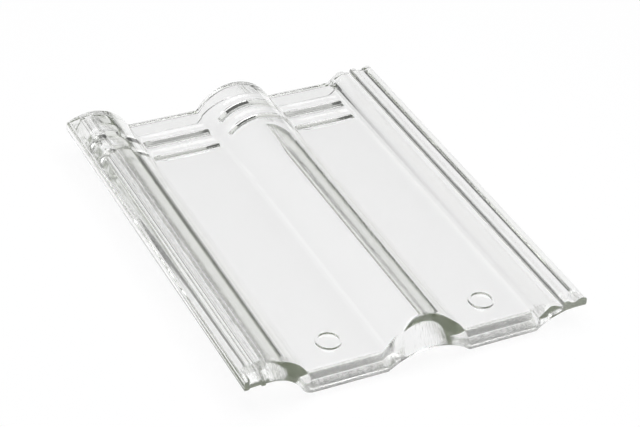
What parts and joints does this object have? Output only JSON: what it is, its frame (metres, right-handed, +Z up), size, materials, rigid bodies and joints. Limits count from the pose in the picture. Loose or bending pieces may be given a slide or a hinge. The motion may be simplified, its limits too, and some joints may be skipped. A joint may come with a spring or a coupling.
{
  "type": "roof tile",
  "caption": "Clear acrylic interlocking roof tile with rolls between flat pans, side locks along both edges, a turned down head and weather bars under the tail.",
  "frame": {"origin": "centre of the bounding box in plan, at the level of the tail wall's foot", "axes": "+X across the tile from the overlock to the underlock, +Y from the head to the tail, +Z up out of the weather face"},
  "size_m": [0.33, 0.418, 0.042],
  "materials": {
    "acrylic": "gloss"
  },
  "bodies": {
    "root": {"roof_tile": "acrylic"}
  },
  "joints": []
}
